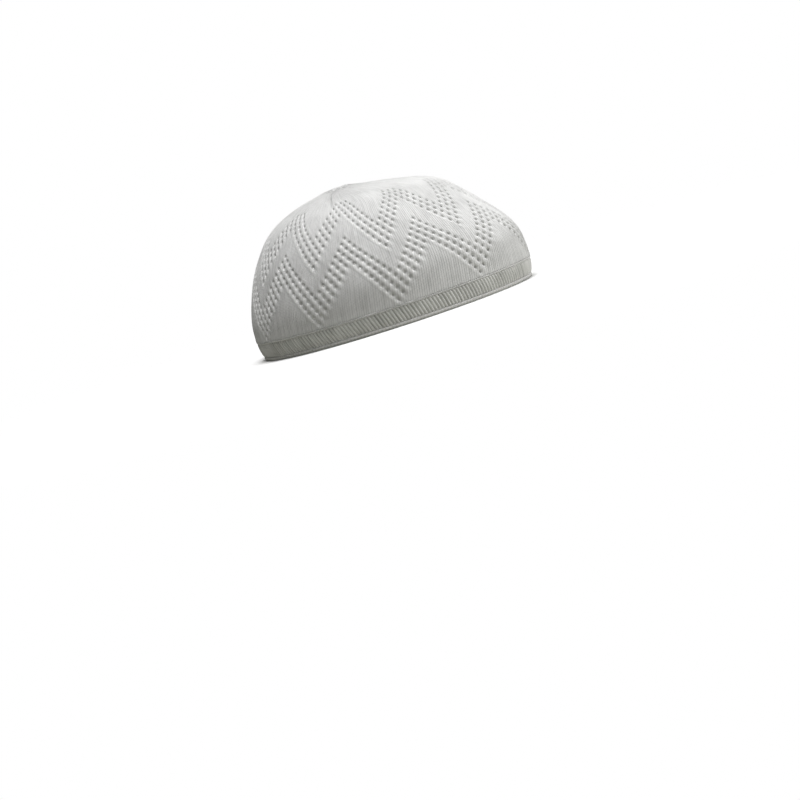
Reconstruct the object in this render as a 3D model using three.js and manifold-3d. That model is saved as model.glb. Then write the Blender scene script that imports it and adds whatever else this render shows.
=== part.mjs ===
// A white knitted skull cap, as it stands when it is stretched to a head: an openwork crown gathered
// into a knot, a rib band, the chain of loops that joins the two, and the band's folded lower edge.
// Millimetres, +Z up, front at -Y, the wearer's right at -X. The origin is the middle of the opening.

import * as THREE from "three";
import { ParametricGeometry } from "three/addons/geometries/ParametricGeometry.js";
import { mergeVertices } from "three/addons/utils/BufferGeometryUtils.js";
import Module from "manifold-3d";

const wasm = await Module();
wasm.setup();

// Outline of the cap: at each height, how far it reaches back, forward and to either side.
const OUTLINE = [
  { height: 0, back: 99.3, front: 98.6, side: 79 },
  { height: 8, back: 101.6, front: 101.2, side: 80 },
  { height: 18, back: 102.2, front: 102.2, side: 80.3 },
  { height: 26, back: 101.5, front: 101.9, side: 79.6 },
  { height: 34, back: 99.5, front: 100.7, side: 78.2 },
  { height: 42, back: 96.8, front: 97.5, side: 75.8 },
  { height: 50, back: 93.6, front: 92.3, side: 72.6 },
  { height: 60, back: 88.8, front: 83.6, side: 67.4 },
  { height: 70, back: 82.3, front: 74.6, side: 60.6 },
  { height: 80, back: 74.3, front: 64.5, side: 51.6 },
  { height: 87, back: 65.9, front: 55.3, side: 43.4 },
  { height: 92, back: 56.4, front: 41.8, side: 35 },
  { height: 96, back: 45.2, front: 22.8, side: 25.5 },
  { height: 99, back: 31.7, front: 4.3, side: 15 },
  { height: 101, back: 20.7, front: -5.7, side: 7 },
  { height: 102, back: 12.2, front: -12.1, side: 0.05 },
];
const EGG = 0.05; // share by which a side draws in towards the front and swells towards the back

// Pieces, from the floor up.
const GAP = 0.3; // left between neighbours, which are stitched together on the real cap
const FOLD = { height: 2.6, thick: 2.7, proud: 0.3, sides: 8 };
const BAND = { height: 9.7, thick: 2.2, ribs: 225, groove: 0.7, backColumns: 90 };
const SEAM = { height: 1.4, thick: 1.5, proud: 0.3, sides: 6 };
const CROWN = { wall: 1.5, rings: 12, neck: 6 };
const KNOT = { pleats: 10, pleatDepth: 0.5 };
const COLUMNS = 60; // flats round the crown and the rings below it

// Lean of the ribs: how far along the rim a rib's foot lies ahead of its head, towards the front.
const RIB_LEAN = 3.4;

// Gathers: the cloth is drawn in towards the knot in small puckers, and one deeper crease runs from it.
const PUCKER = { count: 10, depth: 0.5, reach: 24 };
const CREASE = { angle: 106, width: 7, depth: 1.3, from: 4, reach: 42 };

// Wale map: the wales are stretched wider at the front, and those of the right side wider than the left's.
const STRETCH = { front: 0.0131, right: 0.0085 };
const LEAN = { share: 0.155, turn: 0.1, height: 57 };

// Zigzag openwork in two tiers. A tier's chart runs over columns of two wales and rows of four courses.
const ZIGZAG = { repeats: 10, halfColumns: 9, firstValley: 0.1127 };
const TIERS = [
  { valley: 26.2, row: 4.1, eyelet: 2.5 },
  { valley: 65.8, row: 4.5, eyelet: 2.2 },
];
const CUT_EVERY = 3; // columns from one eyelet that is cut through to the next
const EYELET_SIDES = 4;

const MATERIALS = {
  crown: new THREE.MeshStandardMaterial({ color: 0xe4e4e1, roughness: 0.92, metalness: 0 }),
  rib_band: new THREE.MeshStandardMaterial({ color: 0xdedfda, roughness: 0.94, metalness: 0 }),
  folded_edge: new THREE.MeshStandardMaterial({ color: 0xe8e8e5, roughness: 0.9, metalness: 0 }),
  linking_seam: new THREE.MeshStandardMaterial({ color: 0xeaeae7, roughness: 0.9, metalness: 0 }),
  crown_knot: new THREE.MeshStandardMaterial({ color: 0xe4e4e1, roughness: 0.92, metalness: 0 }),
};

const TURN = 2 * Math.PI;
const UP = new THREE.Vector3(0, 0, 1);

// One column of the outline table as a smooth curve of (reach, height).
function reachCurve(column) {
  return new THREE.SplineCurve(OUTLINE.map((row) => new THREE.Vector2(row[column], row.height)));
}
const reach = { back: reachCurve("back"), front: reachCurve("front"), side: reachCurve("side") };

// Point of the smooth outer surface. Angle 0 is the front and a quarter turn the wearer's right.
// Share 0 is the rim and 1 the top.
function outlinePoint(angle, share, target = new THREE.Vector3()) {
  const back = reach.back.getPoint(share);
  const front = reach.front.getPoint(share).x;
  const side = reach.side.getPoint(share).x;
  const forward = (front - back.x) / 2 + ((front + back.x) / 2) * Math.cos(angle);
  const sideways = side * Math.sin(angle) * (1 - EGG * Math.cos(angle));
  return target.set(-sideways, -forward, back.y);
}

// The line from the rim up to the top at one angle, which three.js can walk by its length.
class Meridian extends THREE.Curve {
  constructor(angle) {
    super();
    this.angle = angle;
  }
  getPoint(share, target = new THREE.Vector3()) {
    return outlinePoint(this.angle, share, target);
  }
}

// The line round the rim, from the front over the wearer's right.
class Rim extends THREE.Curve {
  getPoint(share, target = new THREE.Vector3()) {
    return outlinePoint(share * TURN, 0, target);
  }
}
const rim = new Rim();
rim.arcLengthDivisions = 720;
const RIM_LENGTH = rim.getLength();

function angleAtRim(arc) {
  const wrapped = ((arc % RIM_LENGTH) + RIM_LENGTH) % RIM_LENGTH;
  return rim.getUtoTmapping(0, wrapped) * TURN;
}

// Share of the outline curves at a height near the rim, where they run nearly straight up.
function shareAtHeight(height) {
  let low = 0;
  let high = 0.5;
  for (let i = 0; i < 30; i += 1) {
    const middle = (low + high) / 2;
    if (reach.back.getPoint(middle).y < height) low = middle;
    else high = middle;
  }
  return (low + high) / 2;
}

// Depth of the gathers at a point of the top: shallow puckers round the knot, and the crease.
const top = outlinePoint(0, 1);
function gatherDepth(angle, point) {
  const distance = Math.hypot(point.x - top.x, point.y - top.y);
  const fade = Math.max(0, 1 - distance / PUCKER.reach);
  const puckers = PUCKER.depth * fade * (1 + Math.cos(PUCKER.count * angle));
  const across = ((angle - THREE.MathUtils.degToRad(CREASE.angle)) * distance) / CREASE.width;
  const along = THREE.MathUtils.smoothstep(distance, 0, CREASE.from);
  const end = 1 - THREE.MathUtils.smoothstep(distance, CREASE.reach / 2, CREASE.reach);
  return puckers + CREASE.depth * along * end * Math.exp(-across * across);
}

// Point of the cloth's outer face, and its outward normal, at a distance up the meridian from the rim.
const meridians = new Map();
function meridianAt(angle) {
  if (!meridians.has(angle)) meridians.set(angle, new Meridian(angle));
  return meridians.get(angle);
}
function clothPoint(angle, distance) {
  const line = meridianAt(angle);
  const point = line.getPoint(line.getUtoTmapping(0, distance));
  point.z -= gatherDepth(angle, point);
  return point;
}
function clothNormal(angle, distance) {
  const step = 0.5;
  const up = clothPoint(angle, distance + step).sub(clothPoint(angle, distance - step));
  const turn = 0.01;
  const round = clothPoint(angle + turn, distance).sub(clothPoint(angle - turn, distance));
  return round.cross(up).normalize().negate();
}

// A closed mesh whose shared vertices are merged.
function merged(geometry) {
  geometry.deleteAttribute("normal");
  geometry.deleteAttribute("uv");
  return mergeVertices(geometry, 1e-3);
}

// A ring whose cross-section at each angle is a closed loop of points. pointAt(angle, index) gives them.
// The angles run clockwise as seen from above, so the columns are walked backwards to face out.
function ringBody(columns, loopLength, pointAt) {
  const surface = (u, v, target) => {
    const column = columns - Math.round(u * columns);
    const index = Math.round(v * loopLength) % loopLength;
    target.copy(pointAt(((column % columns) / columns) * TURN, index));
  };
  return merged(new ParametricGeometry(surface, columns, loopLength));
}

// A point near the rim by height, moved out level by an offset.
function levelPoint(angle, height, offset) {
  const share = shareAtHeight(height);
  const point = outlinePoint(angle, share);
  const turn = 0.01;
  const round = outlinePoint(angle + turn, share).sub(outlinePoint(angle - turn, share));
  const outward = round.cross(UP).normalize().negate();
  return point.addScaledVector(outward, offset);
}

// A ring with a many-sided section that stands on a flat: its foot is at the given height.
function rollBody(size, foot) {
  const middle = size.proud - size.thick / 2;
  const corner = 1 / Math.cos(Math.PI / size.sides);
  return ringBody(COLUMNS, size.sides, (angle, index) => {
    const turn = ((index + 0.5) / size.sides) * TURN - Math.PI / 2;
    const offset = middle + (size.thick / 2) * corner * Math.cos(turn);
    const height = foot + (size.height / 2) * (1 + corner * Math.sin(turn));
    return levelPoint(angle, Math.max(foot, height), offset);
  });
}

// Heights of the pieces above the opening's plane.
const bandFoot = FOLD.height + GAP;
const bandHead = bandFoot + BAND.height;
const seamFoot = bandHead + GAP;
const crownFoot = seamFoot + SEAM.height + GAP;

// Rib band: a toothed ring is extruded flat, then each of its points is carried to the cap's outline.
function ribBand() {
  const flatRadius = 100;
  const ringPath = (path, count, radiusAt) => {
    for (let i = 0; i < count; i += 1) {
      const angle = (i / count) * TURN;
      const radius = radiusAt(i);
      const x = radius * Math.cos(angle);
      const y = radius * Math.sin(angle);
      if (i === 0) path.moveTo(x, y);
      else path.lineTo(x, y);
    }
    path.closePath();
    return path;
  };
  const outer = ringPath(new THREE.Shape(), 2 * BAND.ribs, (i) => flatRadius - (i % 2) * BAND.groove);
  outer.holes.push(ringPath(new THREE.Path(), BAND.backColumns, () => flatRadius - BAND.thick));
  const geometry = new THREE.ExtrudeGeometry(outer, { depth: 1, bevelEnabled: false });
  const position = geometry.getAttribute("position");
  for (let i = 0; i < position.count; i += 1) {
    const x = position.getX(i);
    const y = position.getY(i);
    const isHead = position.getZ(i) > 0.5;
    const arc = (Math.atan2(-y, x) / TURN) * RIM_LENGTH;
    const height = isHead ? bandHead : bandFoot;
    const point = levelPoint(
      angleAtRim(arc + (isHead ? RIB_LEAN : 0)),
      height,
      Math.hypot(x, y) - flatRadius,
    );
    position.setXYZ(i, point.x, point.y, point.z);
  }
  return merged(geometry);
}

// Manifold solid of a merged geometry, and back.
function solidOf(geometry) {
  return new wasm.Manifold(
    new wasm.Mesh({
      numProp: 3,
      vertProperties: new Float32Array(geometry.getAttribute("position").array),
      triVerts: new Uint32Array(geometry.index.array),
    }),
  );
}
function geometryOf(solid) {
  const mesh = solid.getMesh();
  const geometry = new THREE.BufferGeometry();
  geometry.setAttribute("position", new THREE.BufferAttribute(mesh.vertProperties, 3));
  geometry.setIndex(new THREE.BufferAttribute(mesh.triVerts, 1));
  geometry.computeVertexNormals();
  return geometry;
}

// Rim arc of a wale, by its share of all wales from the front over the right, at a distance up.
function waleArc(share, distance) {
  const turn = share * TURN;
  const stretched = share + STRETCH.front * Math.sin(turn) + STRETCH.right * (1 - Math.cos(turn));
  const lean = LEAN.share * Math.sin(turn + LEAN.turn * TURN) * (distance - LEAN.height);
  return RIM_LENGTH * stretched - lean;
}

// A drill through the wall where one eyelet of the chart lies.
function eyeletDrill(tier, column, row) {
  const distance = tier.valley + tier.row * row;
  const share = ZIGZAG.firstValley + column / (ZIGZAG.repeats * 2 * ZIGZAG.halfColumns);
  const angle = angleAtRim(waleArc(share, distance));
  const depth = 4 * CROWN.wall;
  const drill = new THREE.CylinderGeometry(tier.eyelet / 2, tier.eyelet / 2, depth, EYELET_SIDES);
  const normal = clothNormal(angle, distance);
  const centre = clothPoint(angle, distance).addScaledVector(normal, -CROWN.wall / 2);
  drill.applyQuaternion(new THREE.Quaternion().setFromUnitVectors(new THREE.Vector3(0, 1, 0), normal));
  drill.translate(centre.x, centre.y, centre.z);
  return solidOf(merged(drill));
}

// Crown: a shell from the seam to a neck round the knot, cut through at the eyelets of each zigzag.
function crownBody() {
  const start = crownFoot + 0.1;
  const shell = ringBody(COLUMNS, 2 * CROWN.rings, (angle, index) => {
    const isOuter = index < CROWN.rings;
    const ring = isOuter ? index : 2 * CROWN.rings - 1 - index;
    if (ring === 0) return levelPoint(angle, crownFoot, isOuter ? 0 : -CROWN.wall);
    const end = meridianAt(angle).getLength() - CROWN.neck;
    const distance = start + ((end - start) * ring) / (CROWN.rings - 1);
    const point = clothPoint(angle, distance);
    if (isOuter) return point;
    return point.addScaledVector(clothNormal(angle, distance), -CROWN.wall);
  });
  const drills = [];
  const columns = ZIGZAG.repeats * 2 * ZIGZAG.halfColumns;
  for (const tier of TIERS) {
    for (let column = 0; column < columns; column += CUT_EVERY) {
      const along = column % (2 * ZIGZAG.halfColumns);
      const row = Math.min(along, 2 * ZIGZAG.halfColumns - along);
      drills.push(eyeletDrill(tier, column, row));
    }
  }
  return geometryOf(solidOf(shell).subtract(wasm.Manifold.union(drills)));
}

// Knot: the gathered end of the crown, a pleated button over the neck with its root drawn down inside.
const KNOT_PROFILE = [
  { radius: 0.4, height: -3.6 },
  { radius: 3.4, height: -3.2 },
  { radius: 3.6, height: 0.1 },
  { radius: 6.6, height: 0.3 },
  { radius: 6.2, height: 1.1 },
  { radius: 3.6, height: 1.9 },
  { radius: 0.4, height: 1.5 },
];
function knotBody() {
  let neck = 0;
  for (let column = 0; column < COLUMNS; column += 1) {
    const angle = (column / COLUMNS) * TURN;
    neck = Math.max(neck, clothPoint(angle, meridianAt(angle).getLength() - CROWN.neck).z);
  }
  return ringBody(2 * KNOT.pleats, KNOT_PROFILE.length, (angle, index) => {
    const { radius, height } = KNOT_PROFILE[index];
    const pleat = radius > 1 ? KNOT.pleatDepth * (Math.cos(KNOT.pleats * angle) - 1) : 0;
    const out = radius + pleat;
    return new THREE.Vector3(-out * Math.sin(angle), top.y - out * Math.cos(angle), neck + height);
  });
}

const cap = new THREE.Group();
function addPiece(name, geometry) {
  const mesh = new THREE.Mesh(geometry, MATERIALS[name]);
  mesh.name = name;
  cap.add(mesh);
}
addPiece("folded_edge", rollBody(FOLD, 0));
addPiece("rib_band", ribBand());
addPiece("linking_seam", rollBody(SEAM, seamFoot));
addPiece("crown", crownBody());
addPiece("crown_knot", knotBody());

export default cap;
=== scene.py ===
# %% [markdown]
# # A white knitted skull cap
# The cap is one tube of fine machine knit, gathered shut at the top into a small knot. Two tiers of
# zigzag openwork run round it. A band in rib knit is linked to its foot by a chain of loops, and the
# band's lower edge is folded over. The solids are loaded first, because the looks keep to their places
# and sizes.

# %% Load the solids
import math

import bmesh
import bpy
import numpy as np
from mathutils import Matrix, Vector


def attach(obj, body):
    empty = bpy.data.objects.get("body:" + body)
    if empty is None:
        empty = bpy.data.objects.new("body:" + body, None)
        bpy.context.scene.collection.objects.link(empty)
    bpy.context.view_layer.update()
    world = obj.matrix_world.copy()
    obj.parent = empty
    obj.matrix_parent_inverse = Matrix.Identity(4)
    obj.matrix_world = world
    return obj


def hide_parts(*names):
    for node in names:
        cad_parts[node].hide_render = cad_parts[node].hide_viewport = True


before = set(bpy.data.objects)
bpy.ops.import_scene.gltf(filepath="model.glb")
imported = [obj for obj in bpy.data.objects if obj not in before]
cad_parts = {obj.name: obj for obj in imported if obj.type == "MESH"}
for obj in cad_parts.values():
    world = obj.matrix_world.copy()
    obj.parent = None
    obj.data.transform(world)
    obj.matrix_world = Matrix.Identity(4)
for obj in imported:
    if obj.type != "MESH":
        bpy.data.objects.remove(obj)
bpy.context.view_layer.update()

MM = 0.001
TURN = 2 * math.pi
print("solids:", sorted(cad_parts))

# %% [markdown]
# ## Camera
# The cap is seen from its wearer's right, from a little above the rim. The picture is also tipped, so
# that the front of the cap stands higher than the back. A long lens far away keeps the outline true. The
# camera is turned, with no shift of the lens, until the middle of the rim falls on its place in the frame.

# %% Camera
IMAGE_SIDE = 800
SENSOR = 36.0
CAMERA_DISTANCE = 1.5
CAMERA_ELEVATION = math.radians(4.6)
CAMERA_ROLL = math.radians(17.7)
PIXELS_PER_TANGENT = 2103.8
RIM_CENTRE_PIXEL = (399.2, 317.3)

back = Vector((-math.cos(CAMERA_ELEVATION), 0, math.sin(CAMERA_ELEVATION)))
level_right = (-back).cross(Vector((0, 0, 1))).normalized()
level_up = level_right.cross(-back)
right = level_right * math.cos(CAMERA_ROLL) - level_up * math.sin(CAMERA_ROLL)
up = level_right * math.sin(CAMERA_ROLL) + level_up * math.cos(CAMERA_ROLL)
to_right = (IMAGE_SIDE / 2 - RIM_CENTRE_PIXEL[0]) / PIXELS_PER_TANGENT
to_down = (IMAGE_SIDE / 2 - RIM_CENTRE_PIXEL[1]) / PIXELS_PER_TANGENT
aim = (-back + right * to_right - up * to_down).normalized()
right = (right - aim * right.dot(aim)).normalized()

camera_data = bpy.data.cameras.new("camera")
camera_data.sensor_width = SENSOR
camera_data.lens = PIXELS_PER_TANGENT * SENSOR / IMAGE_SIDE
camera_data.clip_start = 0.01
camera = bpy.data.objects.new("camera", camera_data)
axes = Matrix((right, right.cross(aim), -aim)).transposed()
camera.matrix_world = Matrix.Translation(back * CAMERA_DISTANCE) @ axes.to_4x4()
bpy.context.scene.collection.objects.link(camera)
bpy.context.scene.camera = camera
print("lens in mm:", round(camera_data.lens, 2), "camera height in mm:", round(camera.location.z / MM))

# %% [markdown]
# ## The outline of the cap
# A worn cap is longer than it is wide and fuller in front, with its highest point behind the middle. The
# table gives how far the cloth reaches back, forward and to the side at each height, and a smooth curve
# runs through each column. From it comes the length of cloth from the rim to the top at every angle,
# because a knitter counts rows along the cloth, not upwards.

# %% Outline table and curves
OUTLINE = np.array(
    [  # height, back, front, side, in mm
        (0, 99.3, 98.6, 79),
        (8, 101.6, 101.2, 80),
        (18, 102.2, 102.2, 80.3),
        (26, 101.5, 101.9, 79.6),
        (34, 99.5, 100.7, 78.2),
        (42, 96.8, 97.5, 75.8),
        (50, 93.6, 92.3, 72.6),
        (60, 88.8, 83.6, 67.4),
        (70, 82.3, 74.6, 60.6),
        (80, 74.3, 64.5, 51.6),
        (87, 65.9, 55.3, 43.4),
        (92, 56.4, 41.8, 35),
        (96, 45.2, 22.8, 25.5),
        (99, 31.7, 4.3, 15),
        (101, 20.7, -5.7, 7),
        (102, 12.2, -12.1, 0.05),
    ]
)
EGG = 0.05  # share by which a side draws in towards the front and swells towards the back


def outline_at(share):
    """Height, back, front and side at a share of the way up the table, on a smooth curve."""
    place = np.clip(share, 0, 1 - 1e-9) * (len(OUTLINE) - 1)
    row = place.astype(int)
    t = (place - row)[..., None]
    before, here, after, later = (OUTLINE[np.clip(row + k, 0, len(OUTLINE) - 1)] for k in (-1, 0, 1, 2))
    return 0.5 * (
        2 * here
        + (after - before) * t
        + (2 * before - 5 * here + 4 * after - later) * t**2
        + (3 * here - before - 3 * after + later) * t**3
    )


def outline_point(angle, share):
    """A point of the outer face. Angle 0 is the front, and a quarter turn the wearer's right."""
    height, to_back, to_front, to_side = np.moveaxis(outline_at(share), -1, 0)
    forward = (to_front - to_back) / 2 + (to_front + to_back) / 2 * np.cos(angle)
    sideways = to_side * np.sin(angle) * (1 - EGG * np.cos(angle))
    return np.stack([-sideways, -forward, height + 0 * angle], -1)


# %% Lengths along the cloth
TABLE_ANGLES = np.linspace(0, TURN, 361)
TABLE_SHARES = np.linspace(0, 1, 401)
FRACTIONS = np.linspace(0, 1, 401)


def running_length(points):
    steps = np.linalg.norm(np.diff(points, axis=-2), axis=-1)
    return np.concatenate([0 * steps[..., :1], np.cumsum(steps, -1)], -1)


lengths_up = running_length(outline_point(TABLE_ANGLES[:, None], TABLE_SHARES[None, :]))
share_table = np.array([np.interp(FRACTIONS * line[-1], line, TABLE_SHARES) for line in lengths_up])
rim_angles = np.linspace(0, TURN, 721)
rim_arcs = running_length(outline_point(rim_angles, 0 * rim_angles))
RIM_LENGTH = rim_arcs[-1]


def length_to_top(angle):
    return np.interp(angle, TABLE_ANGLES, lengths_up[:, -1])


def angle_at(arc):
    return np.interp(np.mod(arc, RIM_LENGTH), rim_arcs, rim_angles)


def share_at_length(angle, length):
    fraction = np.clip(length / length_to_top(angle), 0, 1) * (len(FRACTIONS) - 1)
    place = angle / TURN * (len(TABLE_ANGLES) - 1)
    low_f = np.minimum(fraction.astype(int), len(FRACTIONS) - 2)
    low_a = np.minimum(place.astype(int), len(TABLE_ANGLES) - 2)
    f, a = fraction - low_f, place - low_a
    near = share_table[low_a, low_f] * (1 - f) + share_table[low_a, low_f + 1] * f
    far = share_table[low_a + 1, low_f] * (1 - f) + share_table[low_a + 1, low_f + 1] * f
    return near * (1 - a) + far * a


def share_at_height(height):
    return np.interp(height, outline_at(TABLE_SHARES)[:, 0], TABLE_SHARES)


def level_point(angle, height, offset):
    """A point near the rim, by its height, moved out level by an offset."""
    share = share_at_height(height) + 0 * angle
    step = 0.01  # radians to either side
    along = outline_point(angle + step, share) - outline_point(angle - step, share)
    out = np.stack([-along[..., 1], along[..., 0], 0 * along[..., 0]], -1)
    out /= np.linalg.norm(out, axis=-1)[..., None]
    point = outline_point(angle, share)
    outward = np.sign((out * point).sum(-1))[..., None]
    return point + out * outward * np.asarray(offset + 0 * angle)[..., None]


print("rim in mm:", round(RIM_LENGTH, 1), "rim to top in mm:", round(lengths_up[:, -1].min()), "to",
      round(lengths_up[:, -1].max()))

# %% [markdown]
# ## Gathers at the top
# The last row of loops is drawn together with a thread. The cloth puckers round the knot, and one deeper
# crease runs down from it towards the wearer's right: the cloth in front of it laps a little over the
# cloth behind. All of these are small dents in the outline.

# %% Gathers
PUCKER = {"count": 10, "depth": 0.5, "reach": 24}
TUCK = {"count": 36, "depth": 0.28, "reach": 15}
CREASE = {"angle": math.radians(106), "width": 9, "step": 1.0, "depth": 2.1, "from": 3, "reach": 46}
TOP = outline_point(np.array(0.0), np.array(1.0))


def smooth_step(x, low, high):
    t = np.clip((x - low) / (high - low), 0, 1)
    return t * t * (3 - 2 * t)


def gather_depth(angle, point):
    away = np.hypot(point[..., 0] - TOP[0], point[..., 1] - TOP[1])
    depth = 0 * away
    for fold in (PUCKER, TUCK):
        fade = np.clip(1 - away / fold["reach"], 0, 1)
        depth += fold["depth"] * fade * (1 + np.cos(fold["count"] * angle))
    across = (angle - CREASE["angle"]) * away
    start = smooth_step(away, 0, CREASE["from"])
    end = 1 - smooth_step(away, CREASE["reach"] / 3, CREASE["reach"])
    step = smooth_step(across, -CREASE["step"] / 2, CREASE["step"] / 2)
    return depth + CREASE["depth"] * start * end * step * np.exp(-((across / CREASE["width"]) ** 2))


# %% [markdown]
# ## The knitter's chart
# The crown has 360 wales, the columns of loops. The chart counts them in pairs, and counts the courses,
# the rows of loops, in fours. Eyelets fall on three lines that run up and down in a zigzag, ten times
# round, and a second tier of them lies above the first. The mesh is a grid with two squares for each wale
# and one for each course, so that a hole is four squares taken out.

# %% The chart as numbers
WALES = 360
COLUMNS = 2 * WALES
SQUARE = 4  # mesh squares along each side of a chart square
HALF_REPEAT = 9
TIER_STEP = 10  # chart rows from the first tier up to the second
LAST_ROW = 19  # the eyelets stop here, because the top is plain
FIRST_ROW = -3
FIRST_VALLEY = 0.1127
STRETCH = {"front": 0.0131, "right": 0.0085}
LEAN = {"share": 0.155, "turn": 0.1, "height": 57}
TIERS = [{"valley": 26.2, "row": 4.1}, {"valley": 65.8, "row": 4.5}]  # in mm along the cloth
TIER_BLEND = (3.2, 6.8)  # chart rows above the first tier's middle line, between the two spacings
ARM_REACH = 2  # chart rows of eyelets either side of an arm's middle line
CROWN_FOOT = 14.5
NECK = 6  # radius that stays open under the knot
OPENWORK_ROWS = 90  # mesh rows
TOP_ROWS = 26
TOP_COURSES = 42
ROUNDS = 4  # angle and length depend on each other, so they are worked out in turn this many times


def zigzag(chart_column):
    """The chart row of the zigzag's middle line."""
    return HALF_REPEAT - np.abs(np.mod(chart_column, 2 * HALF_REPEAT) - HALF_REPEAT)


def is_eyelet(chart_column, chart_row):
    first = chart_row - zigzag(chart_column)
    second = first - TIER_STEP
    in_first = (np.abs(first) <= ARM_REACH) & (first % 2 == 0)
    in_second = (np.abs(second) <= ARM_REACH) & (second % 2 == 0) & (chart_row <= LAST_ROW)
    return in_first | in_second


def wale_arc(share, length):
    """Where a wale lies along the rim at a length of cloth from the rim: the wales lean a little."""
    turn = share * TURN
    stretched = share + STRETCH["front"] * np.sin(turn) + STRETCH["right"] * (1 - np.cos(turn))
    lean = LEAN["share"] * np.sin(turn + LEAN["turn"] * TURN) * (length - LEAN["height"])
    return RIM_LENGTH * stretched - lean


# %% Where each crossing of the grid lies
column, row = np.meshgrid(np.arange(COLUMNS), np.arange(OPENWORK_ROWS + TOP_ROWS + 1))
chart_column, chart_row = column / SQUARE, row / SQUARE + FIRST_ROW
share_round = FIRST_VALLEY + column / COLUMNS
first_tier = TIERS[0]["valley"] + TIERS[0]["row"] * chart_row
second_tier = TIERS[1]["valley"] + TIERS[1]["row"] * (chart_row - TIER_STEP)
past_first = smooth_step(chart_row - zigzag(chart_column), *TIER_BLEND)
length = first_tier * (1 - past_first) + second_tier * past_first
first_holes = TIERS[0]["valley"] - ARM_REACH * TIERS[0]["row"]
length = np.where(row < SQUARE, CROWN_FOOT + (first_holes - CROWN_FOOT) * row / SQUARE, length)
plain_from = TIERS[1]["valley"] + TIERS[1]["row"] * (OPENWORK_ROWS / SQUARE + FIRST_ROW - TIER_STEP)
up_the_top = np.clip((row - OPENWORK_ROWS) / TOP_ROWS, 0, 1)
for _ in range(ROUNDS):
    angle = angle_at(wale_arc(share_round, length))
    to_neck = length_to_top(angle) - NECK
    length = np.where(row > OPENWORK_ROWS, plain_from + (to_neck - plain_from) * up_the_top, length)
share_up = share_at_length(angle, length)
share_up[0] = share_at_height(CROWN_FOOT)
cloth = outline_point(angle, share_up)
cloth[..., 2] -= gather_depth(angle, cloth)

INSIDE = (0, 0, 20)  # a point inside the cap, which tells outward from inward


def outward_normals(points):
    """Normals of a grid of points that closes on itself from left to right."""
    along = np.roll(points, -1, 1) - np.roll(points, 1, 1)
    upwards = np.gradient(points, axis=0)
    normal = np.cross(along, upwards)
    normal /= np.linalg.norm(normal, axis=-1)[..., None]
    return normal * np.sign((normal * (points - INSIDE)).sum(-1))[..., None]


normals = outward_normals(cloth)
pitch = np.linalg.norm(np.roll(cloth, -1, 1) - cloth, axis=-1)
print("wale pitch in mm: foot", round(float(2 * pitch[0].mean()), 2), "end of the openwork",
      round(float(2 * pitch[OPENWORK_ROWS].mean()), 2))

# %% [markdown]
# ## Relief of the knit
# Each wale stands up a little, with a groove to either side. In the openwork, loops are moved over, and
# the moved loops lie on top as short cords that all lean one way. Where a zigzag arm leans with them they
# join into long ridges, and where it leans against them they make a chequer of bumps. Cloth is never quite
# even either, so a few long, low waves are added.

# %% Relief
WALE_RELIEF = 0.22
WALE_LOST = 0.6  # share of the wale relief that is lost in the openwork
FINE_PITCH = 0.7  # where the mesh columns lie closer than this, the relief fades
CORD_RELIEF = 0.44
CORD_POWER = 1.3  # above 1 the cords are narrower than the dips between them
ARM_EDGES = {"foot": (-4.0, -3.2), "inner": (1.9, 2.6), "outer": (3.1, 3.9)}  # chart rows from the middle
UPPER_EDGE = 0.5  # share of a full cord at the upper edge of an arm
LAST_ARM = (18.6, 20.4)  # chart rows over which the second tier's cords end
EYELET_DIP = 0.2
EYELET_FUNNEL = 0.4
SUNK = 0.4  # the table's outline runs over the high points of the cloth
SUNK_FROM = 6  # mesh rows above the foot over which the cloth sinks by that much
UNEVEN = 0.2
UNEVEN_FROM = 12  # mesh rows above the foot over which the waves rise to their full height
UNEVEN_LENGTH = 50
WAVES = [  # waves round, waves up in UNEVEN_LENGTH, share of UNEVEN
    (3, 1.3, 1),
    (5, 2.1, 0.8),
    (9, 3.7, 0.5),
    (17, 6.1, 0.3),
]
random = np.random.default_rng(11)


def arm_mask(rows_from_middle):
    below = smooth_step(rows_from_middle, *ARM_EDGES["foot"])
    above = UPPER_EDGE * (1 - smooth_step(rows_from_middle, *ARM_EDGES["outer"]))
    inner = (1 - UPPER_EDGE) * (1 - smooth_step(rows_from_middle, *ARM_EDGES["inner"]))
    return below * (above + inner)


from_line = chart_row - zigzag(chart_column)
second_arms = arm_mask(from_line - TIER_STEP) * (1 - smooth_step(chart_row, *LAST_ARM))
arms = arm_mask(from_line) + second_arms
cords = 0.5 - 0.5 * np.cos(math.pi * (chart_column - chart_row))
fine = np.clip(pitch / FINE_PITCH, 0, 1)
fade = 1 - smooth_step(row, OPENWORK_ROWS, OPENWORK_ROWS + TOP_ROWS)
relief = -WALE_RELIEF * np.cos(math.pi * column) * fine * (1 - WALE_LOST * arms)
relief += arms * (CORD_RELIEF * cords**CORD_POWER - EYELET_DIP) * fine
for waves_round, waves_up, strength in WAVES:
    phase_round, phase_up = random.uniform(0, TURN, 2)
    up_wave = np.sin(waves_up * length / UNEVEN_LENGTH + phase_up)
    wave = np.sin(waves_round * angle + phase_round) * up_wave
    relief += UNEVEN * strength * wave * fade * smooth_step(row, 0, UNEVEN_FROM)
relief -= SUNK * smooth_step(row, 0, SUNK_FROM) * fade
cloth_relief = (cloth + normals * relief[..., None]) * MM
print("relief in mm:", round(float(relief.min()), 2), "to", round(float(relief.max()), 2))

# %% [markdown]
# ## Tools for cloth made on a grid
# Each piece of cloth starts flat, as a grid with one unit for each square, like the knitter's chart. The
# grid is cut while it is flat. Then every point is carried to its place on the cap, the two side edges are
# welded, and the flat place of each point stays behind as the map that the knit pattern follows.

# %% Grid tools
WELD_WITHIN = 0.002 * MM


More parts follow.
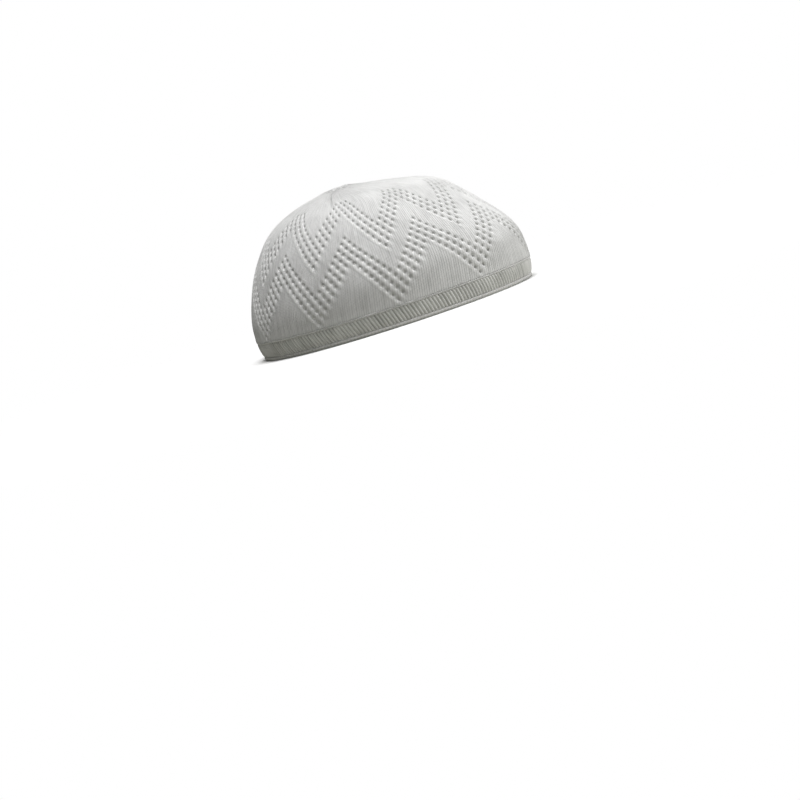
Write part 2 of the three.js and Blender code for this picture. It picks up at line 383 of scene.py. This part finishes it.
def flat_grid(columns, rows):
    mesh = bmesh.new()
    bmesh.ops.create_grid(mesh, x_segments=columns, y_segments=rows, size=1)
    bmesh.ops.translate(mesh, vec=(1, 1, 0), verts=mesh.verts)
    bmesh.ops.scale(mesh, vec=(columns / 2, rows / 2, 1), verts=mesh.verts)
    return mesh


def sharpen_ends(mesh, rows):
    """The first and last row meet another piece, so their edges aren't shaded round."""
    for edge in mesh.edges:
        heights = {round(vert.co.y) for vert in edge.verts}
        if heights in ({0}, {rows}):
            edge.smooth = False


def carried(mesh, name, place, wales_per_column, first_course=0.0, course_step=1.0):
    """Carries a flat grid to its place, with a knit map in wales and courses, and welds its edges."""
    data = bpy.data.meshes.new(name)
    mesh.to_mesh(data)
    mesh.free()
    flat = np.empty(3 * len(data.vertices), np.float32)
    data.vertices.foreach_get("co", flat)
    flat = flat.reshape(-1, 3).astype(float)
    corners = np.empty(len(data.loops), np.int32)
    data.loops.foreach_get("vertex_index", corners)
    knit_map = data.uv_layers.new(name="knit_map")
    wales_courses = np.stack(
        [flat[corners, 0] * wales_per_column, first_course + flat[corners, 1] * course_step], -1
    )
    knit_map.data.foreach_set("uv", wales_courses.astype(np.float32).ravel())
    placed = place(flat[:, 0], flat[:, 1]).astype(np.float32)
    data.vertices.foreach_set("co", placed.ravel())
    welded = bmesh.new()
    welded.from_mesh(data)
    bmesh.ops.remove_doubles(welded, verts=welded.verts, dist=WELD_WITHIN)
    bmesh.ops.recalc_face_normals(welded, faces=welded.faces)
    middle = Vector(INSIDE) * MM
    outside = sum(face.normal.dot(face.calc_center_median() - middle) for face in welded.faces)
    if outside < 0:
        bmesh.ops.reverse_faces(welded, faces=welded.faces)
    for face in welded.faces:
        face.smooth = True
    welded.to_mesh(data)
    welded.free()
    piece = bpy.data.objects.new(name, data)
    bpy.context.scene.collection.objects.link(piece)
    return piece


def give_thickness(piece, thick):
    """A wall of cloth behind the outer face."""
    wall = piece.modifiers.new("thickness", "SOLIDIFY")
    wall.thickness = thick * MM
    wall.offset = -1
    wall.use_even_offset = False
    wall.use_rim = True
    return piece


def on_cloth(grid_column, grid_row):
    """A point of the crown at a place of the grid that may lie between its crossings."""
    left, low = np.floor(grid_column).astype(int), np.floor(grid_row).astype(int)
    high = np.minimum(low + 1, cloth_relief.shape[0] - 1)
    a, b = (grid_column - left)[:, None], (grid_row - low)[:, None]
    this, following = left % COLUMNS, (left + 1) % COLUMNS
    lower = cloth_relief[low, this] * (1 - a) + cloth_relief[low, following] * a
    upper = cloth_relief[high, this] * (1 - a) + cloth_relief[high, following] * a
    return lower * (1 - b) + upper * b


# %% [markdown]
# ## Finishes
# The yarn is matt white cotton. All finishes share two small groups of nodes. One makes the loops of plain
# knit, which look like rows of V shapes. The other makes the fluff of the yarn, and slight differences in
# its tone. The relief that is too fine for the mesh goes into bump, and painted shade makes the colour a
# little darker down between the loops, where light gets lost on the real cloth.

# %% Node helpers
def new_group(name, inputs, outputs):
    tree = bpy.data.node_groups.new(name, "ShaderNodeTree")
    for label, kind in inputs:
        tree.interface.new_socket(name=label, in_out="INPUT", socket_type=kind)
    for label, kind in outputs:
        tree.interface.new_socket(name=label, in_out="OUTPUT", socket_type=kind)
    return tree, tree.nodes.new("NodeGroupInput"), tree.nodes.new("NodeGroupOutput")


def sum_node(tree, operation, *values):
    """A Math node whose inputs are sockets or numbers."""
    node = tree.nodes.new("ShaderNodeMath")
    node.operation = operation
    for socket, value in zip(node.inputs, values):
        if isinstance(value, (int, float)):
            socket.default_value = value
        else:
            tree.links.new(value, socket)
    return node.outputs[0]


# %% Node group: the loops of plain knit
LEG_ENDS = 0.05  # keeps the two sides of a loop's leg from falling quite to nothing
LEG_POWER = 0.6  # below 1 a leg is blunter along its length
STREAK_SCALE = (0.9, 0.06, 1)  # a streak is about a wale wide and many courses long


def build_loops_group():
    tree, given, result = new_group(
        "knit_loops",
        [("Map", "NodeSocketVector"), ("Slant", "NodeSocketFloat")],
        [("Height", "NodeSocketFloat"), ("Wale", "NodeSocketFloat"), ("Streak", "NodeSocketFloat")],
    )
    parts = tree.nodes.new("ShaderNodeSeparateXYZ")
    tree.links.new(given.outputs["Map"], parts.inputs[0])
    in_wale = sum_node(tree, "FRACT", parts.outputs["X"])
    from_middle = sum_node(tree, "ABSOLUTE", sum_node(tree, "SUBTRACT", in_wale, 0.5))
    side = sum_node(tree, "MULTIPLY", from_middle, 2.0)
    lifted = sum_node(tree, "MULTIPLY", side, given.outputs["Slant"])
    in_course = sum_node(tree, "FRACT", sum_node(tree, "SUBTRACT", parts.outputs["Y"], lifted))
    leg_along = sum_node(tree, "SINE", sum_node(tree, "MULTIPLY", in_course, math.pi))
    across = sum_node(tree, "MULTIPLY_ADD", side, 1 - 2 * LEG_ENDS, LEG_ENDS)
    leg_across = sum_node(tree, "SINE", sum_node(tree, "MULTIPLY", across, math.pi))
    leg = sum_node(tree, "MULTIPLY", sum_node(tree, "POWER", leg_along, LEG_POWER), leg_across)
    tree.links.new(leg, result.inputs["Height"])
    tree.links.new(sum_node(tree, "SUBTRACT", 1.0, side), result.inputs["Wale"])
    stretched = tree.nodes.new("ShaderNodeMapping")
    stretched.inputs["Scale"].default_value = STREAK_SCALE
    tree.links.new(given.outputs["Map"], stretched.inputs["Vector"])
    streak = tree.nodes.new("ShaderNodeTexNoise")
    streak.noise_dimensions = "2D"
    streak.inputs["Scale"].default_value = 1
    streak.inputs["Detail"].default_value = 2
    tree.links.new(stretched.outputs["Vector"], streak.inputs["Vector"])
    tree.links.new(streak.outputs["Fac"], result.inputs["Streak"])
    return tree


LOOPS = build_loops_group()


# %% Node group: the fluff and the tone of the yarn
FLUFF_SCALE = 2600  # patches about 0.4 mm across
TONE_SCALE = 55  # patches about 18 mm across


def build_yarn_group():
    tree, given, result = new_group(
        "cotton_yarn",
        [("Place", "NodeSocketVector")],
        [("Fluff", "NodeSocketFloat"), ("Tone", "NodeSocketFloat")],
    )
    fluff = tree.nodes.new("ShaderNodeTexNoise")
    fluff.inputs["Scale"].default_value = FLUFF_SCALE
    fluff.inputs["Detail"].default_value = 3
    tone = tree.nodes.new("ShaderNodeTexNoise")
    tone.inputs["Scale"].default_value = TONE_SCALE
    tone.inputs["Detail"].default_value = 4
    tone.inputs["Roughness"].default_value = 0.6
    for noise in (fluff, tone):
        tree.links.new(given.outputs["Place"], noise.inputs["Vector"])
    tree.links.new(fluff.outputs["Fac"], result.inputs["Fluff"])
    tree.links.new(tone.outputs["Fac"], result.inputs["Tone"])
    return tree


YARN = build_yarn_group()


# %% The knit finish
# How far each spot takes the light colour rather than the shade colour: painted shade down between the
# loops and the wales, where real cloth loses light, and the yarn's own random tone. The least, and what a
# loop's height, its wale and chance add to it.
PAINTED_SHADE_AND_TONE = {"least": 0.2, "loop": 0.25, "ridge": 0.6, "ridge_power": 0.7, "uneven": 0.9}
ROUGHNESS = {"least": 0.84, "fluff": 0.12}
FLUFF_HEIGHT = 0.25  # share of a loop's height


def knit_finish(name, light, shade, slant, loop_bump, map_scale=(1, 1), map_shift=(0, 0)):
    """A knit whose colour runs from shade, a painted shade down between the loops, to light, the yarn's own
    white on top of them.
    """
    material = bpy.data.materials.new(name)
    material.use_nodes = True
    tree = material.node_tree
    shader = tree.nodes["Principled BSDF"]
    shader.inputs["Sheen Weight"].default_value = 0.05
    shader.inputs["Sheen Roughness"].default_value = 0.5
    shader.inputs["Specular IOR Level"].default_value = 0.25
    knit_map = tree.nodes.new("ShaderNodeUVMap")
    knit_map.uv_map = "knit_map"
    mapping = tree.nodes.new("ShaderNodeMapping")
    mapping.inputs["Scale"].default_value = (*map_scale, 1)
    mapping.inputs["Location"].default_value = (*map_shift, 0)
    loops = tree.nodes.new("ShaderNodeGroup")
    loops.node_tree = LOOPS
    loops.inputs["Slant"].default_value = slant
    place = tree.nodes.new("ShaderNodeTexCoord")
    yarn = tree.nodes.new("ShaderNodeGroup")
    yarn.node_tree = YARN
    tree.links.new(knit_map.outputs["UV"], mapping.inputs["Vector"])
    tree.links.new(mapping.outputs["Vector"], loops.inputs["Map"])
    tree.links.new(place.outputs["Object"], yarn.inputs["Place"])

    # Painted shade: the colour is darker down between the loops and between the wales, where the real cloth
    # loses light. The yarn's own random tone is added to it.
    shade_and_tone = sum_node(tree, "MULTIPLY", loops.outputs["Height"], PAINTED_SHADE_AND_TONE["loop"])
    ridge = sum_node(tree, "POWER", loops.outputs["Wale"], PAINTED_SHADE_AND_TONE["ridge_power"])
    shade_and_tone = sum_node(tree, "MULTIPLY_ADD", ridge, PAINTED_SHADE_AND_TONE["ridge"], shade_and_tone)
    uneven = sum_node(tree, "ADD", yarn.outputs["Tone"], loops.outputs["Streak"])
    uneven = sum_node(tree, "SUBTRACT", uneven, 1.0)
    shade_and_tone = sum_node(tree, "MULTIPLY_ADD", uneven, PAINTED_SHADE_AND_TONE["uneven"], shade_and_tone)
    shade_and_tone = sum_node(tree, "ADD", shade_and_tone, PAINTED_SHADE_AND_TONE["least"])
    colour = tree.nodes.new("ShaderNodeMix")
    colour.data_type = "RGBA"
    colour.clamp_factor = True
    colour.inputs["A"].default_value = (*shade, 1)
    colour.inputs["B"].default_value = (*light, 1)
    tree.links.new(shade_and_tone, colour.inputs["Factor"])
    tree.links.new(colour.outputs["Result"], shader.inputs["Base Color"])
    rough = sum_node(tree, "MULTIPLY_ADD", yarn.outputs["Fluff"], ROUGHNESS["fluff"], ROUGHNESS["least"])
    tree.links.new(rough, shader.inputs["Roughness"])

    height = sum_node(tree, "MULTIPLY_ADD", yarn.outputs["Fluff"], FLUFF_HEIGHT, loops.outputs["Height"])
    bump = tree.nodes.new("ShaderNodeBump")
    bump.inputs["Strength"].default_value = 1
    bump.inputs["Distance"].default_value = loop_bump * MM
    tree.links.new(height, bump.inputs["Height"])
    tree.links.new(bump.outputs["Normal"], shader.inputs["Normal"])
    return material


# Each shade colour is painted shade for the hollows between the loops, wales and ribs; each light colour is
# the yarn's own white.
CROWN_KNIT = knit_finish(
    "crown_knit", light=(0.91, 0.91, 0.9), shade=(0.57, 0.57, 0.56), slant=0.8, loop_bump=0.25
)
RIB_KNIT = knit_finish(
    "rib_knit", light=(0.92, 0.92, 0.9), shade=(0.42, 0.42, 0.4), slant=0.5, loop_bump=0.2,
    map_shift=(0.5, 0),
)
EDGE_KNIT = knit_finish(
    "edge_knit", light=(0.9, 0.9, 0.89), shade=(0.66, 0.66, 0.64), slant=0.5, loop_bump=0.12
)
SEAM_YARN = knit_finish(
    "seam_yarn", light=(0.9, 0.9, 0.89), shade=(0.66, 0.66, 0.64), slant=0.2, loop_bump=0.1,
    map_scale=(1, 4),
)
print("finishes:", [finish.name for finish in (CROWN_KNIT, RIB_KNIT, EDGE_KNIT, SEAM_YARN)])


def placed_piece(piece, material, slot, *nodes):
    """Gives a finished piece its material, hangs it under the root, and hides the solids it stands for."""
    piece.data.materials.append(material)
    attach(piece, "root")
    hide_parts(*nodes)
    return piece


# %% [markdown]
# ## Crown
# The crown is knitted in one go. Here it is three pieces that meet edge to edge, because a mesh of more
# than 200,000 triangles is unwieldy: the lower openwork, the upper openwork and the plain top. Each eyelet
# is a corner of the grid taken out with its four squares, and the eight points round it are set on an oval.
# Eyelets on the two side edges get different sizes, so their rims stay up to 0.15 mm apart at the weld.

# %% Sizes of the eyelets
CROWN_WALL = 1.0
EYELET_RADIUS = {"low": 0.88, "high": 0.6}  # in mesh squares: the cloth is stretched less higher up
EYELET_SPREAD = 0.2  # eyelets differ in size by this share either way
EYELET_DRAWN = 0.2  # share by which an eyelet is drawn out along the cords
CHART_ROWS = 40  # more than the grid has
eyelet_sizes = random.uniform(1 - EYELET_SPREAD, 1 + EYELET_SPREAD, (CHART_ROWS, COLUMNS // SQUARE + 1))
rows_up = np.clip(np.arange(CHART_ROWS) * SQUARE / OPENWORK_ROWS, 0, 1)[:, None]
eyelet_sizes *= EYELET_RADIUS["low"] * (1 - rows_up) + EYELET_RADIUS["high"] * rows_up
print("eyelet sizes in mesh squares:", round(float(eyelet_sizes.min()), 2), "to",
      round(float(eyelet_sizes.max()), 2))


# %% Crown pieces
def crown_piece(name, first_row, last_row, first_course, course_step):
    """Mesh rows from first_row to last_row of the crown, with its eyelets cut."""
    rows = last_row - first_row
    mesh = flat_grid(COLUMNS, rows)
    sharpen_ends(mesh, rows)
    holes = []
    for vert in mesh.verts:
        at_column, at_row = round(vert.co.x), round(vert.co.y) + first_row
        if at_column % SQUARE or at_row % SQUARE or at_row > OPENWORK_ROWS:
            continue
        if is_eyelet(at_column / SQUARE, at_row / SQUARE + FIRST_ROW):
            holes.append(vert)
    eyelets = len(holes)
    bmesh.ops.delete(mesh, geom=holes, context="VERTS")

    def place(flat_column, flat_row):
        grid_row = flat_row + first_row
        near_column = np.round(flat_column / SQUARE)
        near_row = np.round(grid_row / SQUARE)
        off_column, off_row = flat_column - near_column * SQUARE, grid_row - near_row * SQUARE
        reach = np.hypot(off_column, off_row)
        next_to = np.maximum(abs(off_column), abs(off_row)) < 1.5  # the eight points round a crossing
        rim = is_eyelet(near_column, near_row + FIRST_ROW) & next_to
        rim &= (grid_row < OPENWORK_ROWS) & (reach > 0)
        size = eyelet_sizes[near_row.astype(int), near_column.astype(int)]
        pull = np.where(rim, size / np.maximum(reach, 0.5), 1)
        along = pull * (off_column + off_row) / 2 * np.where(rim, 1 + EYELET_DRAWN, 1)
        across = pull * (off_column - off_row) / 2 * np.where(rim, 1 - EYELET_DRAWN, 1)
        point = on_cloth(near_column * SQUARE + along + across, near_row * SQUARE + along - across)
        inwards = normals[np.round(grid_row).astype(int), np.round(flat_column).astype(int) % COLUMNS]
        return point - inwards * np.where(rim, EYELET_FUNNEL * MM, 0)[:, None]

    piece = carried(mesh, name, place, WALES / COLUMNS, first_course, course_step)
    give_thickness(piece, CROWN_WALL)
    print(name, "faces before thickness:", len(piece.data.polygons), "eyelets:", eyelets)
    return placed_piece(piece, CROWN_KNIT, "crown_knit", "crown")


SPLIT_ROW = 46
crown_lower = crown_piece("crown_lower", 0, SPLIT_ROW, 0, 1)
crown_upper = crown_piece("crown_upper", SPLIT_ROW, OPENWORK_ROWS, SPLIT_ROW, 1)
crown_top = crown_piece(
    "crown_top", OPENWORK_ROWS, OPENWORK_ROWS + TOP_ROWS, OPENWORK_ROWS, TOP_COURSES / TOP_ROWS
)

# %% [markdown]
# ## Rib band
# The band is knitted one by one: a wale that faces out, then a wale that faces in. It pulls together
# sideways, so the outward wales stand up as ribs. The band is doubled, and its ribs lean, because the two
# layers shifted a little when they were linked. It is a grid with six squares for each rib.

# %% Rib band
RIBS = 225
RIB_SQUARES = 6
RIB_COURSES = 9
BAND = {"foot": 2.75, "head": 12.75, "wall": 1.9, "sunk": 0.05}
GROOVE = {"depth": 0.85, "power": 0.8, "at_ends": 0.5}
BAND_ENDS = {"from": 0.42, "tuck": 0.45}  # from is a share of the band's height, off its middle
RIB_LEAN = 3.4
COURSE_RELIEF = 0.07


def band_place(flat_column, flat_row):
    up_band = flat_row / (2 * RIB_COURSES)
    arc = flat_column / (RIBS * RIB_SQUARES) * RIM_LENGTH + RIB_LEAN * up_band
    height = BAND["foot"] + (BAND["head"] - BAND["foot"]) * up_band
    groove = 0.5 - 0.5 * np.cos(TURN * flat_column / RIB_SQUARES)
    course = COURSE_RELIEF * np.cos(math.pi * flat_row) * (1 - groove)
    ends = smooth_step(np.abs(up_band - 0.5), BAND_ENDS["from"], 0.5)
    inward = GROOVE["depth"] * groove ** GROOVE["power"] * (1 - GROOVE["at_ends"] * ends)
    offset = course - inward - BAND_ENDS["tuck"] * ends - BAND["sunk"]
    return level_point(angle_at(arc), height, offset) * MM


band_mesh = flat_grid(RIBS * RIB_SQUARES, 2 * RIB_COURSES)
rib_band = carried(band_mesh, "rib_band_knit", band_place, 1 / RIB_SQUARES, 0, 0.5)
give_thickness(rib_band, BAND["wall"])
placed_piece(rib_band, RIB_KNIT, "rib_knit", "rib_band")
print("ribs:", RIBS, "pitch in mm:", round(RIM_LENGTH / RIBS, 2))

# %% [markdown]
# ## Folded edge and linking seam
# Where the band turns over, its lower edge is a soft roll that stands on a narrow flat. The seam above the
# band is a chain of loops from a linking machine, and it shows as a thin cord of slanted bumps. Both are
# grids that close on themselves in both directions, like a ring of tube.

# %% Rings of tube
def ring_piece(name, columns, sides, section, wales_per_column):
    """A ring whose section at each column is a closed loop. section(column, turn) gives offset, height."""
    mesh = flat_grid(columns, sides)

    def place(flat_column, flat_side):
        turn = np.mod(flat_side, sides) / sides * TURN
        around = np.mod(flat_column, columns)
        offset, height = section(around, turn)
        return level_point(angle_at(around / columns * RIM_LENGTH), height, offset) * MM

    return carried(mesh, name, place, wales_per_column, 0, 1)


# %% Folded edge
FOLD = {"height": 2.6, "thick": 2.7, "proud": 0.3, "ripple": 0.07, "squares": 4, "sides": 14}
FOLD_FULLNESS = {"sideways": 0.85, "upwards": 0.8, "flat": 1.04}  # 1 would be an oval with no flat


def fullness(wave, power):
    return np.abs(wave) ** power * np.sign(wave)


def fold_section(around, turn):
    full = fullness(np.cos(turn), FOLD_FULLNESS["sideways"])
    rise = fullness(np.sin(turn), FOLD_FULLNESS["upwards"])
    ripple = FOLD["ripple"] * np.cos(TURN * around / FOLD["squares"]) * np.clip(full, 0, 1)
    middle = FOLD["proud"] - FOLD["thick"] / 2
    offset = middle + FOLD["thick"] / 2 * full + ripple - FOLD["ripple"]
    height = np.clip(FOLD["height"] / 2 * (1 + FOLD_FULLNESS["flat"] * rise), 0, FOLD["height"])
    return offset, height


folded_edge = ring_piece(
    "folded_edge_knit", FOLD["squares"] * RIBS, FOLD["sides"], fold_section, 1 / FOLD["squares"]
)
placed_piece(folded_edge, EDGE_KNIT, "edge_knit", "folded_edge")

# %% Linking seam
SEAM = {"middle": 13.6, "half_height": 0.82, "thick": 1.5, "proud": 0.2, "loops": WALES, "squares": 6}
SEAM_THIN = 0.6  # share of the full size between two loops of the chain
SEAM_SIDES = 12


def seam_section(around, turn):
    twist = np.abs(np.cos(turn + math.pi * around / SEAM["squares"]))
    swell = SEAM_THIN + (1 - SEAM_THIN) * twist
    middle = SEAM["proud"] - SEAM["thick"] / 2
    offset = middle + SEAM["thick"] / 2 * np.cos(turn) * swell
    height = SEAM["middle"] + SEAM["half_height"] * np.sin(turn) * swell
    return offset, height


linking_seam = ring_piece(
    "linking_seam_chain", SEAM["loops"] * SEAM["squares"], SEAM_SIDES, seam_section, 1 / SEAM["squares"]
)
placed_piece(linking_seam, SEAM_YARN, "seam_yarn", "linking_seam")

# %% [markdown]
# ## Knot
# The gathered end is sewn off into a small pleated button. Its profile is drawn from the top down to the
# root inside the cap, and spun once round. Then it is drawn in at twenty places round it, to make the
# pleats. The top of the cap slopes, so the button is tilted and bent to lie on the cloth all the way round.

# %% Knot
KNOT_PROFILE = [  # radius and height above the neck, in mm
    (0, 0.45), (0.8, 0.5), (1.7, 0.7), (2.8, 0.8), (3.9, 0.74), (4.9, 0.55), (5.8, 0.3), (6.4, 0.0),
    (6.5, -0.3), (6.0, -0.5), (4.4, -0.5), (3.5, -1.2), (3.3, -3.0), (1.5, -3.5), (0, -3.6),
]
KNOT = {"pleats": 20, "depth": 0.3, "drop": 0.18, "steps": 120}
KNOT_PLAIN = 0.5  # inside this radius there are no pleats
KNOT_FULL = 4  # the pleats have their full depth from this radius outwards
KNOT_UPPER = 0.4  # above this height the pleats also dip downwards
KNOT_WELD = 1e-4  # in mm, like the profile

neck_ring = cloth[-1] - (0, TOP[1], 0)
neck_turns = np.arctan2(neck_ring[:, 1], neck_ring[:, 0])
neck_order = np.argsort(neck_turns)
NECK_HEIGHT = float(neck_ring[:, 2].mean())


def neck_slope(x, y):
    """How far the gathered cloth under the knot rises or falls, because the top of the cap slopes."""
    turn = math.atan2(y, x)
    height = np.interp(turn, neck_turns[neck_order], neck_ring[neck_order, 2], period=TURN)
    return (float(height) - NECK_HEIGHT) * math.hypot(x, y) / NECK


def build_knot():
    mesh = bmesh.new()
    verts = [mesh.verts.new((r, 0, h)) for r, h in KNOT_PROFILE]
    edges = [mesh.edges.new(pair) for pair in zip(verts, verts[1:])]
    bmesh.ops.spin(
        mesh, geom=verts + edges, axis=(0, 0, 1), cent=(0, 0, 0), angle=TURN,
        steps=KNOT["steps"], use_merge=True,
    )
    bmesh.ops.remove_doubles(mesh, verts=mesh.verts, dist=KNOT_WELD)
    bmesh.ops.recalc_face_normals(mesh, faces=mesh.faces)
    knit_map = mesh.loops.layers.uv.new("knit_map")
    for face in mesh.faces:
        face.smooth = True
        for loop in face.loops:
            x, y, z = loop.vert.co
            turn = math.atan2(y, x) / TURN
            loop[knit_map].uv = (turn * 2 * KNOT["pleats"], math.hypot(x, y) + z)
    for vert in mesh.verts:
        radius = math.hypot(vert.co.x, vert.co.y)
        if radius < KNOT_PLAIN:
            continue
        pleat = math.cos(KNOT["pleats"] * math.atan2(vert.co.y, vert.co.x))
        share = min(1, radius / KNOT_FULL)
        drawn = 1 - KNOT["depth"] * share * (1 - pleat) / 2 / radius
        vert.co.x *= drawn
        vert.co.y *= drawn
        vert.co.z += KNOT["drop"] * share * (pleat - 1) * (vert.co.z > KNOT_UPPER)
        vert.co.z += neck_slope(vert.co.x, vert.co.y)
    bmesh.ops.scale(mesh, vec=(MM, MM, MM), verts=mesh.verts)
    bmesh.ops.translate(mesh, vec=Vector((0, float(TOP[1]), NECK_HEIGHT)) * MM, verts=mesh.verts)
    data = bpy.data.meshes.new("knot_gather")
    mesh.to_mesh(data)
    mesh.free()
    piece = bpy.data.objects.new("knot_gather", data)
    bpy.context.scene.collection.objects.link(piece)
    return piece


knot = placed_piece(build_knot(), CROWN_KNIT, "crown_knit", "crown_knot")
print("knot: neck at", round(NECK_HEIGHT, 2), "mm, faces", len(knot.data.polygons))

# %% [markdown]
# ## The cloth at rest
# Knitted cloth stretches when it is worn. At rest a wale is about 1.35 mm wide and a course about 1 mm
# high. The top is narrowed as it is knitted, so its flat shape isn't a rectangle. These sizes are not used
# below.

# %% [markdown]
# ## Floor and light
# A plain pale floor fades into a white room. One big soft light hangs right overhead and makes the top of
# the cap the brightest part. A weaker one stands low in front, and a third, weaker still, between the
# front and the wearer's right. The room adds a faint light from all sides.
# Thin white knit also lets daylight through. A faint lamp inside the cap, which faces up into the crown,
# stands for that, so that the eyelets look grey and not black.

# %% Floor
FLOOR_RADIUS = 3.0
floor_mesh = bmesh.new()
bmesh.ops.create_circle(floor_mesh, cap_ends=True, segments=96, radius=FLOOR_RADIUS)
floor_data = bpy.data.meshes.new("floor")
floor_mesh.to_mesh(floor_data)
floor_mesh.free()
floor = bpy.data.objects.new("floor", floor_data)
bpy.context.scene.collection.objects.link(floor)


def floor_finish(near_radius, far_radius):
    """Pale and matt near the cap, and clear further out, so that it ends without an edge.

    The camera sees it paler than the cap does, so that it throws little light up.
    """
    material = bpy.data.materials.new("pale_floor")
    material.use_nodes = True
    tree = material.node_tree
    seen, bounced = (tree.nodes.new("ShaderNodeBsdfDiffuse") for _ in range(2))
    seen.inputs["Color"].default_value = (0.97, 0.97, 0.97, 1)
    bounced.inputs["Color"].default_value = (0.34, 0.34, 0.3, 1)
    path = tree.nodes.new("ShaderNodeLightPath")
    shader = tree.nodes.new("ShaderNodeMixShader")
    tree.links.new(path.outputs["Is Camera Ray"], shader.inputs["Fac"])
    tree.links.new(bounced.outputs["BSDF"], shader.inputs[1])
    tree.links.new(seen.outputs["BSDF"], shader.inputs[2])
    place = tree.nodes.new("ShaderNodeTexCoord")
    away = tree.nodes.new("ShaderNodeVectorMath")
    away.operation = "LENGTH"
    tree.links.new(place.outputs["Object"], away.inputs[0])
    fade = tree.nodes.new("ShaderNodeMapRange")
    fade.interpolation_type = "SMOOTHSTEP"
    fade.inputs["From Min"].default_value = near_radius
    fade.inputs["From Max"].default_value = far_radius
    tree.links.new(away.outputs["Value"], fade.inputs["Value"])
    clear = tree.nodes.new("ShaderNodeBsdfTransparent")
    mix = tree.nodes.new("ShaderNodeMixShader")
    tree.links.new(fade.outputs["Result"], mix.inputs["Fac"])
    tree.links.new(shader.outputs["Shader"], mix.inputs[1])
    tree.links.new(clear.outputs["BSDF"], mix.inputs[2])
    tree.links.new(mix.outputs["Shader"], tree.nodes["Material Output"].inputs["Surface"])
    return material


floor.data.materials.append(floor_finish(near_radius=0.11, far_radius=0.42))


# %% Light
def white_room(seen, lit):
    world = bpy.data.worlds.new("white_room")
    world.use_nodes = True
    tree = world.node_tree
    shown = tree.nodes["Background"]
    shown.inputs["Color"].default_value = (1, 1, 1, 1)
    shown.inputs["Strength"].default_value = seen
    lighting = tree.nodes.new("ShaderNodeBackground")
    lighting.inputs["Strength"].default_value = lit
    path = tree.nodes.new("ShaderNodeLightPath")
    mix = tree.nodes.new("ShaderNodeMixShader")
    tree.links.new(path.outputs["Is Camera Ray"], mix.inputs["Fac"])
    tree.links.new(lighting.outputs["Background"], mix.inputs[1])
    tree.links.new(shown.outputs["Background"], mix.inputs[2])
    tree.links.new(mix.outputs["Shader"], tree.nodes["World Output"].inputs["Surface"])
    bpy.context.scene.world = world


def soft_light(name, power, size, location, target=(0, 0, 0.05)):
    data = bpy.data.lights.new(name, "AREA")
    data.shape = "DISK"
    data.energy = power
    data.size = size
    lamp = bpy.data.objects.new(name, data)
    lamp.location = location
    lamp.rotation_euler = (Vector(target) - Vector(location)).to_track_quat("-Z", "Y").to_euler()
    lamp.visible_camera = False
    bpy.context.scene.collection.objects.link(lamp)


white_room(seen=1.0, lit=0.13)
soft_light("overhead", power=24, size=1.0, location=(0, 0, 1.5))
soft_light("front", power=8.8, size=1.0, location=(-0.2, -1.4, 0.6))
soft_light("front_right", power=3, size=1.0, location=(-0.8, -0.8, 0.8))
soft_light("inside", power=0.07, size=0.05, location=(0, 0, 0.02), target=(0, 0, 0.1))
bpy.context.scene.view_settings.view_transform = "Standard"
